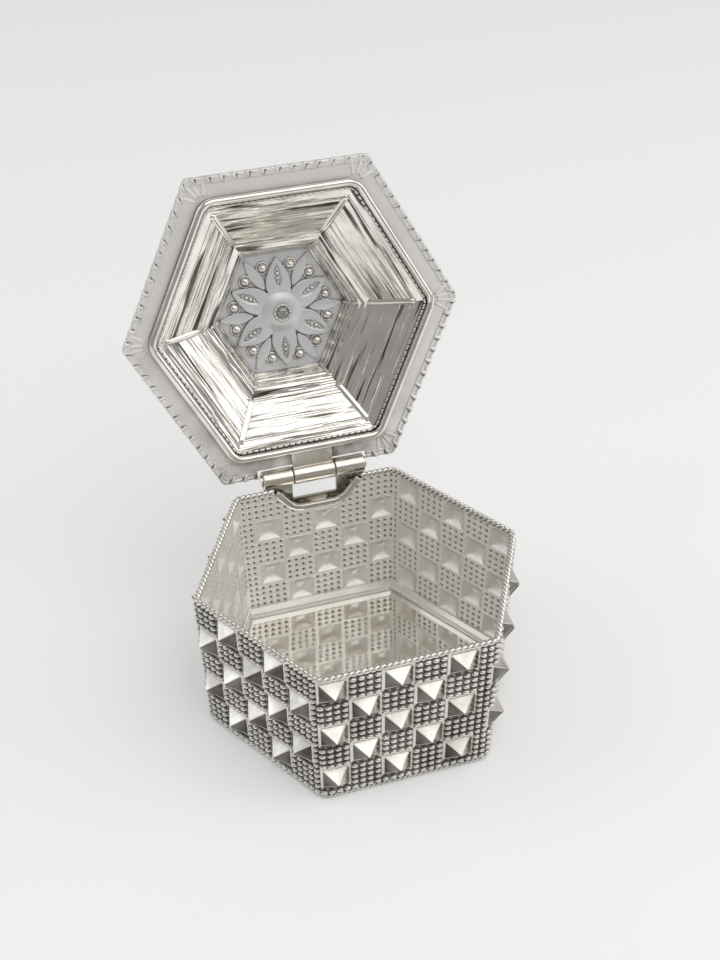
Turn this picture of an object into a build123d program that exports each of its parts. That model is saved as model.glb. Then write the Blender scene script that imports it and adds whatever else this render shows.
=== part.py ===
"""A hexagonal silver sindoor box with a hinged lid, standing open. Millimetres, +Z up.

The origin is on the surface the box stands on, under the middle of the hexagon. The front side
faces -Y and the hinge is on the back side, +Y. The walls are one embossed strip with rows of
hollow four-sided studs, and everything on the lid is modelled closed and then swung open.
"""

import math
import os

from build123d import *

# Outline of the box, measured over the rim wire
rim_width = 50.0
rim_depth = 44.9
front_side = 26.4
box_height = 23.75
base_inset = 0.95

# Sheet and wire
wall_sheet = 0.45
wire_radius = 0.6
base_wire_flat = 0.12
corner_radius = 1.6
corner_steps = 4
wire_sides = 14

# Studs of the embossed walls
stud_columns = 5
stud_pitch_across = 4.86
stud_pitch_down = 4.22
stud_width = 3.9
stud_tall = 3.4
stud_height = 1.8
stud_tip = 0.3
first_column = 2.0
first_row = 2.95

# Floor
floor_sheet = 0.45
band_height = 1.0
band_sheet = 0.35
fit_clearance = 0.05
solder_gap = 0.02

# Hinge
hinge_shift = 0.4
axis_behind_rim = 1.93
axis_above_rim = 0.18
knuckle_radius = 1.5
pin_radius = 0.6
pin_running_clearance = 0.05
pin_head_radius = 0.95
pin_head_length = 0.3
side_knuckle = 4.8
lid_knuckle = 6.7
knuckle_gap = 0.12
leaf_sheet = 0.55
leaf_drop = 8.2
leaf_corner = 0.9
notch_depth = 3.85
notch_top = 13.6
notch_bottom = 7.4
notch_radius = 0.8

# Lid
open_angle = 105.0
lid_gap = 0.3
lid_sheet = 0.5
lid_overhang = 0.9
lid_notch_reach = 0.15
lid_notch_margin = 0.35
edge_overhang = 1.4
edge_drop = 0.35
edge_lip = 0.9
tooth_pitch = 1.75
tooth_depth = 0.36
collar_inset = 1.8
collar_width = 1.15
collar_height = 1.25
collar_corner = 2.6
collar_round = 0.4
collar_round_steps = 3
seam_radius = 0.22
seam_sides = 8
dome_band = 1.5
dome_band_rise = 0.5
panel_run = 5.8
panel_rise = 4.0
ledge_run = 1.25
ledge_rise = 0.25
crown_run = 1.6
crown_rise = 3.2

# Plaque and rosette at the top of the lid. The rosette is drawn for petals that reach
# drawn_tip, and is made larger or smaller to keep petal_margin on the plaque.
plaque_sheet = 0.5
plaque_overlap = 0.5
petal_margin = 0.8
slant_allowance = 0.35
drawn_tip = 8.5
rosette_arms = 6
petal_start = 1.9
petal_width = 4.0
petal_rise = 0.55
petal_slit_start = 4.1
petal_slit_tip = 7.5
petal_slit_width = 0.9
petal_slit_depth = 0.3
sepal_start = 5.0
sepal_tip = 9.9
sepal_width = 1.3
sepal_rise = 0.35
hub_radius = 3.0
hub_rise = 0.8
granule_radius = 0.78
granule_circle = 7.6
granule_angle = 13.0
granule_sides = 10
collet_radius = 1.25
collet_bore = 0.95
collet_height = 0.5
stone_radius = 0.93
stone_height = 0.7
stone_sides = 8

# Places that follow from the sizes above
wall_inset = wire_radius - wall_sheet / 2
rim_wire_z = box_height - wire_radius
base_wire_z = wire_radius - base_wire_flat
axis_y = rim_depth / 2 + axis_behind_rim
axis_z = box_height + axis_above_rim
flange_z = box_height + lid_gap
hinge_length = 2 * (side_knuckle + knuckle_gap) + lid_knuckle


def outline(inset):
    """The rim outline moved inward by inset: six corners, anticlockwise from the front left."""
    half_side, half_depth, half_width = front_side / 2, rim_depth / 2, rim_width / 2
    run = half_width - half_side
    slant = math.hypot(run, half_depth)
    depth = half_depth - inset
    width = half_width - inset * slant / half_depth
    side = (half_depth * half_width - inset * slant - run * depth) / half_depth
    return [(-side, -depth), (side, -depth), (width, 0), (side, depth), (-side, depth), (-width, 0)]


def inset_at(z, inset=0.0):
    """How far the wall's line lies inside the rim outline at height z, as the box narrows downward."""
    return inset + base_inset * (1 - z / box_height)


def hexagon(inset, z):
    """The six corners of a flat hexagon at height z."""
    return [Vector(x, y, z) for x, y in outline(inset)]


def flat_face(points):
    return Face(Wire.make_polygon(points, close=True))


def flat_sided(low, high):
    """The solid between two polygons whose matching sides are parallel."""
    following = list(range(1, len(low))) + [0]
    sides = [flat_face([low[i], low[j], high[j], high[i]]) for i, j in enumerate(following)]
    return Solid(Shell([flat_face(low), flat_face(high)] + sides))


def prism(inset, low, high):
    return flat_sided(hexagon(inset, low), hexagon(inset, high))


def frustum(low_inset, low, high_inset, high):
    return flat_sided(hexagon(low_inset, low), hexagon(high_inset, high))


def rounded_prism(inset, low, high, radius):
    """A hexagonal prism with rounded corners."""
    corners = [(x, y, low) for x, y in outline(inset)]
    face = make_face(FilletPolyline(*corners, radius=radius, close=True))
    return extrude(face, high - low, dir=(0, 0, 1))


def bent_round(profile, inset, z, corner):
    """A bar bent into the hexagon with rounded corners. The profile is a list of (out, up) points
    round its middle, which runs at that inset and height."""
    sharp = outline(inset)
    normals = [math.atan2(x - nx, ny - y) for (x, y), (nx, ny) in zip(sharp, sharp[1:] + sharp[:1])]
    sections = []
    for i, (x, y) in enumerate(outline(inset + corner)):
        turn = (normals[i] - normals[i - 1]) % (2 * math.pi)
        for step in range(corner_steps + 1):
            a = normals[i - 1] + turn * step / corner_steps
            places = [(corner + out, up) for out, up in profile]
            sections.append([Vector(x + r * math.cos(a), y + r * math.sin(a), z + up) for r, up in places])
    faces = []
    for one, other in zip(sections, sections[1:] + sections[:1]):
        for i in range(len(profile)):
            faces.append(flat_face([one[i - 1], one[i], other[i], other[i - 1]]))
    return Solid(Shell(faces))


def circle_points(radius, sides):
    angles = [2 * math.pi * (side + 0.5) / sides for side in range(sides)]
    return [(radius * math.cos(a), radius * math.sin(a)) for a in angles]


def rim_wire(inset, z):
    return bent_round(circle_points(wire_radius, wire_sides), inset, z, corner_radius)


def side_plane(side, inset):
    """The plane of one wall at that inset: origin at its top left seen from outside, X to the right,
    Y up the wall and Z outward."""
    top, low = outline(inset), outline(inset + base_inset)
    left, right = Vector(*top[side], box_height), Vector(*top[(side + 1) % 6], box_height)
    foot = Vector(*low[side], 0)
    across = (right - left).normalized()
    outward = across.cross(left - foot).normalized()
    return Plane(left, x_dir=across, z_dir=outward)


def stud_rows():
    """How many rows of studs fit between the rim and the base wire."""
    lowest = base_wire_z + wire_radius + solder_gap + stud_tall / 2
    return int((box_height - first_row - lowest) / stud_pitch_down) + 1


def stud_places():
    """Where the studs are: the side and the plane coordinates of each, in a chequer pattern."""
    for side in range(6):
        for column in range(stud_columns):
            for row in range(stud_rows()):
                if (side + column + row) % 2 == 0 and not in_notch(side, column, row):
                    across = first_column + column * stud_pitch_across
                    down = first_row + row * stud_pitch_down
                    yield side, across, -down


def in_notch(side, column, row):
    """Whether a stud of the back wall would reach into the hinge notch."""
    x = front_side / 2 - first_column - column * stud_pitch_across - hinge_shift
    top = first_row + row * stud_pitch_down - stud_tall / 2
    return side == 3 and top < notch_depth and abs(x) < (notch_top + stud_width) / 2


def rectangle(width, tall, z):
    """The four corners of a rectangle at height z, with its middle on the Z axis."""
    x, y = width / 2, tall / 2
    return [Vector(-x, -y, z), Vector(x, -y, z), Vector(x, y, z), Vector(-x, y, z)]


def stud(lift):
    """One four-sided stud, moved outward by lift, with its foot sunk into the sheet."""
    foot = rectangle(stud_width, stud_tall, 0)
    sunk = rectangle(stud_width, stud_tall, -wall_sheet / 2)
    tip = rectangle(stud_tip, stud_tip, stud_height)
    return Pos(0, 0, lift) * (flat_sided(foot, tip) + flat_sided(sunk, foot))


def hinge_notch():
    """The opening in the back wall's top that the lid's knuckle swings through."""
    half_top, half_bottom, reach = notch_top / 2, notch_bottom / 2, rim_depth / 4
    low, high = box_height - notch_depth, box_height + notch_depth
    spread = half_top + (half_top - half_bottom)
    shape = Polyline((-half_bottom, low), (half_bottom, low), (spread, high), (-spread, high), close=True)
    face = make_face(shape)
    face = fillet(face.vertices().sort_by(Axis.Y)[:2], notch_radius)
    block = extrude(face, reach)
    return Pos(hinge_shift, rim_depth / 2 + reach / 2, 0) * Rot(90, 0, 0) * block


def embossed_wall():
    """The bent strip of embossed sheet, hollow behind each stud."""
    low = base_wire_z + wire_radius + solder_gap
    high = rim_wire_z - wire_radius - solder_gap
    outer = frustum(inset_at(low, wall_inset), low, inset_at(high, wall_inset), high)
    inner_inset = wall_inset + wall_sheet
    inner = frustum(inset_at(low, inner_inset), low, inset_at(high, inner_inset), high)
    proud, hollow = stud(0), stud(-wall_sheet * 1.15)
    planes = [side_plane(side, wall_inset) for side in range(6)]
    raised = [planes[s] * Pos(x, y, 0) * proud for s, x, y in stud_places()]
    sunk = [planes[s] * Pos(x, y, 0) * hollow for s, x, y in stud_places()]
    return (outer + raised) - inner - sunk - hinge_notch()


def top_rim_wire():
    return rim_wire(wire_radius, rim_wire_z) - hinge_notch()


def base_rim_wire():
    wire = rim_wire(inset_at(base_wire_z, wire_radius), base_wire_z)
    ground = Box(2 * rim_width, 2 * rim_width, rim_width, align=(Align.CENTER, Align.CENTER, Align.MIN))
    return wire & ground


def floor_plate():
    """The bottom sheet, set inside the base wire and level with its foot."""
    inset = inset_at(base_wire_z, 2 * wire_radius) + fit_clearance
    return rounded_prism(inset, 0, floor_sheet, corner_radius - wire_radius - fit_clearance)


def floor_band():
    """The plain strip round the foot of the walls, above the base wire."""
    low = base_wire_z + wire_radius + solder_gap
    high = low + band_height
    outside = wall_inset + wall_sheet + fit_clearance
    inside = outside + band_sheet
    return frustum(inset_at(low, outside), low, inset_at(high, outside), high) - frustum(
        inset_at(low, inside), low, inset_at(high, inside), high
    )


def rod(radius, start, end):
    """A round rod along the hinge axis from x = start to x = end, counted from the hinge's middle."""
    at = Plane((hinge_shift + start, axis_y, axis_z), z_dir=(1, 0, 0))
    return extrude(at * Circle(radius), end - start)


def knuckle(start, end, bore):
    return rod(knuckle_radius, start, end) - rod(bore, start, end)


def leaf_plane():
    """The plane that the tips of the back wall's studs touch, with its origin under the hinge's middle."""
    plane = side_plane(3, wall_inset)
    middle = (Vector(*outline(wall_inset)[3], 0) - Vector(hinge_shift, 0, 0)).X
    return plane * Pos(middle, 0, stud_height)


def body_leaf():
    """The U-shaped hinge leaf soldered to the stud tips, cut away for the lid's knuckle."""
    top_down = (Align.CENTER, Align.MAX, Align.MIN)
    plate = Box(hinge_length, leaf_drop, leaf_sheet, align=top_down)
    plate = fillet(plate.edges().filter_by(Axis.Z).sort_by(Axis.Y)[:2], leaf_corner)
    gap_depth = notch_depth + axis_above_rim
    gap = Box(lid_knuckle + 4 * knuckle_gap, gap_depth, leaf_sheet, align=top_down)
    at = leaf_plane() * Pos(0, axis_above_rim, solder_gap)
    return at * (plate - gap) - rod(knuckle_radius + solder_gap, -hinge_length, hinge_length)


def hinge_pin():
    half = hinge_length / 2
    left = rod(pin_head_radius, -half - pin_head_length, -half)
    right = rod(pin_head_radius, half, half + pin_head_length)
    return rod(pin_radius, -half, half) + left + right


def lid_leaf():
    """The strip under the flange that carries the lid's knuckle."""
    inner_y = rim_depth / 2 - collar_inset + fit_clearance
    width = lid_knuckle - knuckle_gap
    strip = Box(width, axis_y - inner_y, leaf_sheet, align=(Align.CENTER, Align.MIN, Align.MAX))
    return Pos(hinge_shift, inner_y, flange_z) * strip - rod(knuckle_radius + solder_gap, -width, width)


def lid_notch():
    """The room cut out of the lid's back edge for the knuckles and the pin's heads."""
    width = hinge_length + 2 * (pin_head_length + lid_notch_margin)
    block = Box(width, rim_depth, rim_depth, align=(Align.CENTER, Align.MIN, Align.CENTER))
    return Pos(hinge_shift, rim_depth / 2 + lid_notch_reach, flange_z) * block


def lid_flange():
    opening = collar_inset + collar_width
    high = flange_z + lid_sheet
    return prism(-lid_overhang, flange_z, high) - prism(opening, flange_z, high) - lid_notch()


def tooth_cuts(low, high):
    """The nicks between the folded teeth: three-cornered prisms along the outer edge of the lid."""
    corners = [Vector(x, y, low) for x, y in outline(-edge_overhang)]
    for left, right in zip(corners, corners[1:] + corners[:1]):
        count = round((right - left).length / tooth_pitch)
        for tooth in range(1, count):
            at = Plane(left + (right - left) * (tooth / count), x_dir=right - left)
            points = [(-tooth_depth, -tooth_depth, 0), (tooth_depth, -tooth_depth, 0), (0, tooth_depth, 0)]
            yield extrude(at * make_face(Polyline(*points, close=True)), high - low, dir=(0, 0, 1))


def crimped_edge():
    """The edge folded round the flange and under it, with a row of teeth along each side."""
    low, high = flange_z - edge_drop, flange_z + lid_sheet
    edge = prism(-edge_overhang, low, high) - prism(-lid_overhang, flange_z, high)
    edge = edge - prism(edge_lip - edge_overhang, low, flange_z) - list(tooth_cuts(low, high))
    return edge - lid_notch()


def collar_profile():
    """The collar's section about the middle of its top: flat on the flange and round below."""
    half, points = collar_width / 2, []
    for side in (-1, 1):
        steps = range(collar_round_steps + 1)
        for step in steps if side < 0 else reversed(steps):
            a = math.pi / 2 * step / collar_round_steps
            out = half - collar_round + collar_round * math.cos(a)
            points.append((side * out, -collar_height + collar_round * (1 - math.sin(a))))
    return [(-half, 0)] + points + [(half, 0)]


def lid_collar():
    """The half-round rim inside the flange that finds its place within the walls."""
    middle = collar_inset + collar_width / 2
    return bent_round(collar_profile(), middle, flange_z, collar_corner)


def seam_wire():
    """The fine wire laid in the corner between the collar and the dome."""
    inset = collar_inset + collar_width + fit_clearance + seam_radius
    corner = collar_corner - collar_width / 2 - fit_clearance - seam_radius
    return bent_round(circle_points(seam_radius, seam_sides), inset, flange_z - seam_radius, corner)


def dome_profile():
    """The lid's section from its lip to the crown: pairs of inset and height above the flange."""
    steps = [
        (0.0, 0.0),
        (dome_band, dome_band_rise),
        (panel_run, panel_rise),
        (ledge_run, ledge_rise),
        (crown_run, crown_rise),
    ]
    inset, height, points = collar_inset + collar_width + fit_clearance, 0.0, []
    for run, rise in steps:
        inset += run
        height += rise
        points.append((inset, height))
    return points


def stepped_solid(profile, lift):
    """The solid under the stepped profile, lifted by lift."""
    solid = None
    for (inset, height), (next_inset, next_height) in zip(profile, profile[1:]):
        piece = frustum(inset, flange_z + height + lift, next_inset, flange_z + next_height + lift)
        solid = piece if solid is None else solid + piece
    return solid


def lid_dome():
    """The stepped hexagonal cover, of sheet, open at the top where the plaque closes it."""
    profile = dome_profile()
    crown = flange_z + profile[-1][1]
    lip = prism(profile[0][0], flange_z, flange_z + lid_sheet)
    above = prism(-rim_width / 4, crown, crown + 2 * lid_sheet)
    return (lip + stepped_solid(profile, lid_sheet)) - stepped_solid(profile, 0) - above


def rosette_unit():
    """The rosette's size on this plaque over the size it is drawn at."""
    inset = dome_profile()[-1][0]
    half_depth, half_width = rim_depth / 2, rim_width / 2
    slant = math.hypot(half_width - front_side / 2, half_depth)
    to_front = half_depth - inset
    to_slant = half_depth * half_width / slant - inset
    return (min(to_front, to_slant + slant_allowance) - petal_margin) / drawn_tip


def lens(start, tip, width, rise):
    """A pointed petal along +X, from start to tip, standing rise proud of the plaque's inner face.

    The plaque's inner face looks down, so proud is towards -Z.
    """
    unit = rosette_unit()
    middle, half = unit * (start + tip) / 2, unit * width / 2
    edge = ThreePointArc((unit * start, 0, 0), (middle, -half, 0), (unit * tip, 0, 0))
    back = ThreePointArc((unit * tip, 0, 0), (middle, half, 0), (unit * start, 0, 0))
    return Pos(0, 0, -rise) * extrude(make_face(edge + back), rise, dir=(0, 0, 1))


def arms(piece, turn=0.0):
    step = 360 / rosette_arms
    return [Rot(0, 0, turn + step * i) * piece for i in range(rosette_arms)]


def plaque_plane():
    return Pos(0, 0, flange_z + dome_profile()[-1][1])


def lid_plaque():
    """The hexagonal sheet that closes the crown."""
    inset, height = dome_profile()[-1]
    low = flange_z + height
    return prism(inset - plaque_overlap, low, low + plaque_sheet)


def half_step():
    """The turn from a corner of the plaque to the middle of its side."""
    return 180 / rosette_arms


def rosette_flower():
    """The hub and the large slit petals that point to the middles of the plaque's sides."""
    petal = lens(petal_start, drawn_tip, petal_width, petal_rise)
    slit = lens(petal_slit_start, petal_slit_tip, petal_slit_width, petal_slit_depth)
    sunk_slit = Pos(0, 0, petal_slit_depth - petal_rise) * slit
    hub = extrude(Circle(rosette_unit() * hub_radius), -hub_rise, taper=25)
    seat = Pos(0, 0, -hub_rise) * Cylinder(collet_radius + solder_gap, collet_height)
    return plaque_plane() * (hub + arms(petal, half_step()) - arms(sunk_slit, half_step()) - seat)


def rosette_sepals():
    """The slim leaves between the petals, one towards each corner of the plaque."""
    slim = lens(sepal_start, sepal_tip, sepal_width, sepal_rise)
    petal = lens(petal_start, drawn_tip, petal_width + 2 * solder_gap, petal_rise)
    leaves = [piece - arms(petal, half_step()) for piece in arms(slim)]
    return Compound(children=[(plaque_plane() * leaf).solid() for leaf in leaves])


def round_stone(radius, height, sides):
    """A low faceted dome on the plaque's inner face, pointing down."""
    levels = [(1.0, 0.0), (0.85, 0.6), (0.45, 1.0)]
    angles = [2 * math.pi * side / sides for side in range(sides)]
    rings = [
        [Vector(radius * wide * math.cos(a), radius * wide * math.sin(a), -height * down) for a in angles]
        for wide, down in levels
    ]
    return flat_sided(rings[0], rings[1]) + flat_sided(rings[1], rings[2])


def rosette_granules():
    """Two round beads in each bay, one on either side of each slim leaf."""
    radius, circle = rosette_unit() * granule_radius, rosette_unit() * granule_circle
    bead = round_stone(radius, radius, granule_sides)
    beads = []
    for angle in (-granule_angle, granule_angle):
        beads += arms(Rot(0, 0, angle) * Pos(circle, 0, 0) * bead)
    return Compound(children=[(plaque_plane() * b).solid() for b in beads])


def stone_collet():
    """The little tube that holds the middle stone, sunk into the hub."""
    at = plaque_plane() * Pos(0, 0, -hub_rise + collet_height / 2)
    tube = Cylinder(collet_radius, 2 * collet_height, align=(Align.CENTER, Align.CENTER, Align.MAX))
    bore = Cylinder(collet_bore, collet_height, align=(Align.CENTER, Align.CENTER, Align.MAX))
    return at * (tube - Pos(0, 0, -collet_height) * bore)


def middle_stone():
    seat = -hub_rise - collet_height / 2
    return plaque_plane() * Pos(0, 0, seat) * round_stone(stone_radius, stone_height, stone_sides)


def swung_open(piece):
    """A lid piece turned from closed to open about the hinge axis."""
    return piece.rotate(Axis((0, axis_y, axis_z), (1, 0, 0)), -open_angle)


half_lid = lid_knuckle / 2
half_hinge = hinge_length / 2
fixed_bore = pin_radius
running_bore = pin_radius + pin_running_clearance

body_pieces = {
    "embossed_wall": embossed_wall(),
    "top_rim_wire": top_rim_wire(),
    "base_rim_wire": base_rim_wire(),
    "floor_plate": floor_plate(),
    "floor_band": floor_band(),
    "hinge_body_leaf": body_leaf(),
    "hinge_knuckle_left": knuckle(-half_hinge, -half_lid - knuckle_gap, fixed_bore),
    "hinge_knuckle_right": knuckle(half_lid + knuckle_gap, half_hinge, fixed_bore),
    "hinge_pin": hinge_pin(),
}
lid_pieces = {
    "hinge_knuckle_lid": knuckle(-half_lid, half_lid, running_bore),
    "hinge_lid_leaf": lid_leaf(),
    "lid_flange": lid_flange(),
    "lid_crimped_edge": crimped_edge(),
    "lid_collar": lid_collar(),
    "lid_seam_wire": seam_wire(),
    "lid_dome": lid_dome(),
    "lid_plaque": lid_plaque(),
    "rosette_flower": rosette_flower(),
    "rosette_sepals": rosette_sepals(),
    "rosette_granules": rosette_granules(),
    "stone_collet": stone_collet(),
    "middle_stone": middle_stone(),
}

os.makedirs("parts", exist_ok=True)
for name, piece in body_pieces.items():
    export_step(piece, f"parts/{name}.step")
for name, piece in lid_pieces.items():
    export_step(swung_open(piece), f"parts/{name}.step")
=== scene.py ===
import math

import bmesh
import bpy
import numpy as np
from mathutils import Matrix, Vector


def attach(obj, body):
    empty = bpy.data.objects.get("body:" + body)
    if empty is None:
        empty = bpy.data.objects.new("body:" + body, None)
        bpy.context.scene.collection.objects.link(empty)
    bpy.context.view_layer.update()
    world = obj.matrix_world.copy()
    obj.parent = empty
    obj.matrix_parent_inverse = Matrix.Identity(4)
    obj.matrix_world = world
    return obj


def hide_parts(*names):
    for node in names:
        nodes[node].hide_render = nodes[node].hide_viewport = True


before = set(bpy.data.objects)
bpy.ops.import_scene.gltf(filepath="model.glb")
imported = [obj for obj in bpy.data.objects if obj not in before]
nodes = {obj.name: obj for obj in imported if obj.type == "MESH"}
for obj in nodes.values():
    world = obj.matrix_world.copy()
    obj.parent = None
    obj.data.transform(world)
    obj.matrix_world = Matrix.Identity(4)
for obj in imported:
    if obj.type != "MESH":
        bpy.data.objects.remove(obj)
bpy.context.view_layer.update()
MM = 0.001

# Sizes shared with the solids, in millimetres
FRONT_SIDE, DEPTH, WIDTH, HEIGHT = 26.4, 44.9, 50.0, 23.75
BASE_INSET, WALL_INSET, SHEET = 0.95, 0.375, 0.4
CORNER = 1.6
COLUMNS, ROWS, ACROSS, DOWN = 5, 5, 4.86, 4.22
FIRST_COLUMN, FIRST_ROW = 2.0, 2.95
STUD_W, STUD_H, STUD_RISE = 3.9, 3.4, 1.8
RIM_Z, BASE_Z, WIRE_R = 23.15, 0.48, 0.6
HINGE_X, AXIS_Y, AXIS_Z = 0.4, 24.38, 23.93
NOTCH_TOP, NOTCH_BOTTOM, NOTCH_DEPTH = 13.6, 7.4, 3.85
FLANGE_Z, LID_SHEET = 24.05, 0.5
OPEN = math.radians(105)
TILE_ROWS = 4 * ROWS + 1
TILE_W, TILE_H = ACROSS / 4, DOWN / 4
COLLAR_INSET, COLLAR_WIDTH, COLLAR_STRAIGHT, COLLAR_ROUND = 1.8, 1.15, 0.72, 0.53
HINGE_SPAN, LID_NOTCH_GAP, LID_NOTCH_Y = 16.54, 0.65, 22.6

# Looks that only this script holds, in millimetres
ROPE_STEP = 0.13
DOME_CUTS = 10
EDGE_INSET, EDGE_CORNER = -1.27, 0.35
TOOTH_PITCH, TOOTH_AT, TOOTH_STEPS = 2.15, 0.45, 18
GRANULE_AT, GRANULE_TURN = 7.6, 13


def outline(inset):
    """The six corners of the rim's hexagon, moved in by inset."""
    half_side, half_depth, half_width = FRONT_SIDE / 2, DEPTH / 2, WIDTH / 2
    run = half_width - half_side
    slant = math.hypot(run, half_depth)
    depth = half_depth - inset
    width = half_width - inset * slant / half_depth
    side = (half_depth * half_width - inset * slant - run * depth) / half_depth
    return np.array([(-side, -depth), (side, -depth), (width, 0), (side, depth), (-side, depth), (-width, 0)])


ZERO = outline(0)
GROW = outline(1) - ZERO
AHEAD = np.roll(ZERO, -1, axis=0) - ZERO
SIDE_LENGTH = np.hypot(AHEAD[:, 0], AHEAD[:, 1])
NORMAL_ANGLE = np.arctan2(-AHEAD[:, 0], AHEAD[:, 1])
TURN = (NORMAL_ANGLE - np.roll(NORMAL_ANGLE, 1)) % (2 * math.pi)


def on_hexagon(side, u, inset, radius):
    """Points and outward directions on a hexagon with rounded corners, u along each side as on the rim."""
    side = np.asarray(side, int) % 6
    ahead = (side + 1) % 6
    inset = np.broadcast_to(np.asarray(inset, float), np.shape(u))
    start = ZERO[side] + inset[:, None] * GROW[side]
    end = ZERO[ahead] + inset[:, None] * GROW[ahead]
    length = np.linalg.norm(end - start, axis=1)
    along = (end - start) / length[:, None]
    uu = u * length / SIDE_LENGTH[side]
    angle = NORMAL_ANGLE[side].copy()
    point = start + along * uu[:, None]
    for corner, away, sign in ((side, uu, -1), (ahead, length - uu, 1)):
        turn = TURN[corner]
        reach = radius * np.tan(turn / 2)
        near = away < reach
        swung = NORMAL_ANGLE[side] + sign * turn / 2 * (1 - away / reach)
        bisector = NORMAL_ANGLE[side] + sign * turn / 2
        tip = ZERO[corner] + inset[:, None] * GROW[corner]
        outward = np.stack([np.cos(bisector), np.sin(bisector)], 1)
        middle = tip - (radius / np.cos(turn / 2))[:, None] * outward
        arc = middle + radius * np.stack([np.cos(swung), np.sin(swung)], 1)
        point = np.where(near[:, None], arc, point)
        angle = np.where(near, swung, angle)
    return point, np.stack([np.cos(angle), np.sin(angle)], 1)


def opened(points):
    """Closed-lid coordinates swung open about the hinge."""
    p = np.array(points, float).reshape(-1, 3)
    y, z = p[:, 1] - AXIS_Y, p[:, 2] - AXIS_Z
    c, s = math.cos(-OPEN), math.sin(-OPEN)
    return np.stack([p[:, 0], AXIS_Y + y * c - z * s, AXIS_Z + y * s + z * c], 1)


def corner_layer(mesh, name, kind, field, values):
    """Stores a value for each face corner, for the materials."""
    layer = mesh.attributes.new(name, kind, "CORNER")
    layer.data.foreach_set(field, np.asarray(values, np.float32).ravel())


def make(name, part, body, smooth=True, weld=True, pits=None, streaks=None, painted_face_shade=None):
    """A mesh from (points in millimetres, faces) that rides on a body. Lid pieces come as closed."""
    points, faces = part
    p = opened(points) if body == "lid" else np.array(points, float).reshape(-1, 3)
    mesh = bpy.data.meshes.new(name)
    mesh.from_pydata([tuple(q) for q in p * MM], [], [tuple(int(i) for i in f) for f in faces])
    if pits is not None:
        # The stored pit is the patina at each corner plus the painted shade of its face
        extra = painted_face_shade or [0.0] * len(faces)
        pit_patina_and_painted_shade = [pits[i] + more for f, more in zip(faces, extra) for i in f]
        corner_layer(mesh, "pit", "FLOAT", "value", pit_patina_and_painted_shade)
    if streaks is not None:
        corner_layer(mesh, "streak", "FLOAT_VECTOR", "vector", streaks)
    if weld:
        bm = bmesh.new()
        bm.from_mesh(mesh)
        bmesh.ops.remove_doubles(bm, verts=bm.verts, dist=2e-6)
        bm.to_mesh(mesh)
        bm.free()
    if smooth:
        mesh.polygons.foreach_set("use_smooth", [True] * len(mesh.polygons))
    piece = bpy.data.objects.new(name, mesh)
    bpy.context.scene.collection.objects.link(piece)
    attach(piece, body)
    return piece


def weighted(piece):
    """Evens the shading, so that large faces look flat."""
    mod = piece.modifiers.new("even", "WEIGHTED_NORMAL")
    mod.weight = 50
    mod.keep_sharp = True
    return piece


def bevelled(piece, width, segments=2, angle=30):
    """Rounds the edges that are sharper than the angle, and evens the shading."""
    mod = piece.modifiers.new("bevel", "BEVEL")
    mod.width = width * MM
    mod.segments = segments
    mod.limit_method = "ANGLE"
    mod.angle_limit = math.radians(angle)
    return weighted(piece)


class Tiles:
    """Collects copies of tiles in strip coordinates (side, u, v, h) and turns them into one mesh."""

    def __init__(self):
        self.side, self.u, self.v, self.h, self.pit, self.faces, self.shade = [], [], [], [], [], [], []

    def place(self, side, u, v, tile):
        """Adds a copy of a tile with its middle at (u, v)."""
        points, heights, pits, faces, shades = tile
        first = len(self.u)
        self.side += [side] * len(points)
        self.u += list(u + points[:, 0])
        self.v += list(v - points[:, 1])
        self.h += list(heights)
        self.pit += list(pits)
        self.faces += [[i + first for i in f] for f in faces]
        # shade holds the painted shade of each face
        self.shade += shades

    def points(self, base):
        """The strip bent round the hexagon, with base added to every height."""
        u, v, h = np.array(self.u), np.array(self.v), np.array(self.h) + base
        z = HEIGHT - v
        inset = WALL_INSET + BASE_INSET * (1 - z / HEIGHT)
        flat, out = on_hexagon(self.side, u, inset, CORNER)
        return np.column_stack([flat + out * h[:, None], z])


def square_ring(n):
    """n steps per side round the unit square, from the lower left, anticlockwise."""
    t = np.arange(n) / n
    return np.concatenate([
        np.stack([t, 0 * t], 1), np.stack([1 + 0 * t, t], 1),
        np.stack([1 - t, 1 + 0 * t], 1), np.stack([0 * t, 1 - t], 1),
    ])


def loop_faces(sections, size, closed=True):
    """Quads between sections that follow each other, each a ring of the same size."""
    faces = []
    for i in range(sections if closed else sections - 1):
        j = (i + 1) % sections
        for k in range(size):
            m = (k + 1) % size
            faces.append([i * size + k, j * size + k, j * size + m, i * size + m])
    return faces


def flipped(faces):
    """The same quads, seen from the other side."""
    return [[a, d, c, b] for a, b, c, d in faces]


def ring_faces(rings, size):
    """Quads between consecutive rings of the same size."""
    return flipped(loop_faces(rings, size, closed=False))


def joined(parts):
    """Several (points, faces) as one."""
    points, faces = [], []
    for p, f in parts:
        base = len(points)
        points += [tuple(q) for q in p]
        faces += [[i + base for i in g] for g in f]
    return points, faces


def bead_tile(wide, tall, rx, ry, profile):
    """One bead or dent. profile lists (share of radius, height, pit) rings, and ends with the middle."""
    edge = (square_ring(3) - 0.5) * [wide, tall]
    angles = np.arctan2(edge[:, 1] / tall, edge[:, 0] / wide)
    steep = 0.3 + 0.7 * np.abs(np.sin(angles))
    rings, heights, pits = [edge], [np.zeros(12)], [profile[0][2] * steep]
    for share, height, pit in profile[:-1]:
        rings.append(np.stack([rx * share * np.cos(angles), ry * share * np.sin(angles)], 1))
        heights.append(np.full(12, height))
        pits.append(pit * steep)
    points = np.concatenate(rings + [np.zeros((1, 2))])
    h = np.concatenate(heights + [[profile[-1][1]]])
    pit = np.concatenate(pits + [[profile[-1][2]]])
    faces = ring_faces(len(rings), 12)
    last, top = (len(rings) - 1) * 12, len(points) - 1
    faces += [[last + i, last + (i + 1) % 12, top] for i in range(12)]
    return points, h, pit, faces, [0.0] * len(faces)


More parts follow.
